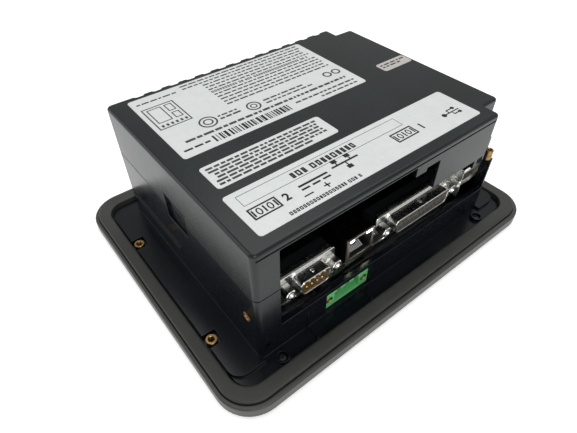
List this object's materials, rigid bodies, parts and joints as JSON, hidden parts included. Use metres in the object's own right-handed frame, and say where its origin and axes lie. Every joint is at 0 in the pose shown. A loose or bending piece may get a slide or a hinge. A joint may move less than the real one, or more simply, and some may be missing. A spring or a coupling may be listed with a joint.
{
  "type": "operator touch panel",
  "caption": "Flush-mount operator touch panel lying face down, with its rear housing, panel seal, serial, network, USB and power connectors.",
  "frame": {"origin": "middle of the bezel on its front face, which lies on the bench", "axes": "X along the connector side, -Y the connector side, +Z out of the back of the unit"},
  "size_m": [0.187, 0.147, 0.0676],
  "materials": {
    "bezel": "fine-textured dark grey polycarbonate",
    "cover": "satin charcoal grey moulding",
    "housing": "satin blue-black moulding",
    "rubber": "smooth grey closed-cell seal",
    "overlay": "printed polyester film with a fine texture",
    "glass": "clear touch sensor glass",
    "zinc": "zinc-plated sheet steel",
    "black": "black moulded electronics plastic",
    "board": "green solder mask",
    "aluminium": "anodised aluminium",
    "cream": "cream plastic",
    "steel": "bright nickel-plated steel",
    "lamp": "translucent green lamp",
    "green": "green terminal plastic",
    "brass": "turned brass",
    "screw": "black-oxide steel",
    "label": null,
    "silver": "silver-grey vinyl"
  },
  "bodies": {
    "root": {"backup_battery": "steel", "battery_holder": "black", "bezel_insert_1": "brass", "bezel_insert_2": "brass", "bezel_insert_3": "brass", "bezel_insert_4": "brass", "board_screw_1": "steel", "board_screw_2": "steel", "board_screw_3": "steel", "board_screw_4": "steel", "corner_standoff_far": "brass", "corner_standoff_near": "brass", "display_bracket": "zinc", "display_frame": "zinc", "display_panel": "black", "display_ribbon": "cream", "expansion_header": "black", "front_bezel": "bezel", "front_overlay": "overlay", "heat_sink": "aluminium", "housing_screw_1": "screw", "housing_screw_2": "screw", "housing_screw_3": "screw", "housing_screw_4": "screw", "main_board": "board", "main_housing": "housing", "memory_chip": "black", "network_jack_insert": "black", "network_jack_shell": "steel", "network_lamp_1": "lamp", "network_lamp_2": "lamp", "notice_label": "label", "panel_gasket": "rubber", "port_label": "label", "power_capacitor": "black", "power_flange_nut_1": "brass", "power_flange_nut_2": "brass", "power_header": "green", "power_pin_1": "steel", "power_pin_2": "steel", "power_pin_3": "steel", "processor": "black", "rating_label": "label", "rear_cover": "cover", "ribbon_socket": "cream", "serial25_insert": "black", "serial25_jack_screw_1": "steel", "serial25_jack_screw_2": "steel", "serial25_shell": "steel", "serial9_insert": "black", "serial9_jack_screw_1": "steel", "serial9_jack_screw_2": "steel", "serial9_shell": "steel", "serial_label": "silver", "side_insert_left": "brass", "side_insert_right": "brass", "touch_glass": "glass", "usb_shell": "steel", "usb_tongue_1": "cream", "usb_tongue_2": "cream"}
  },
  "joints": []
}
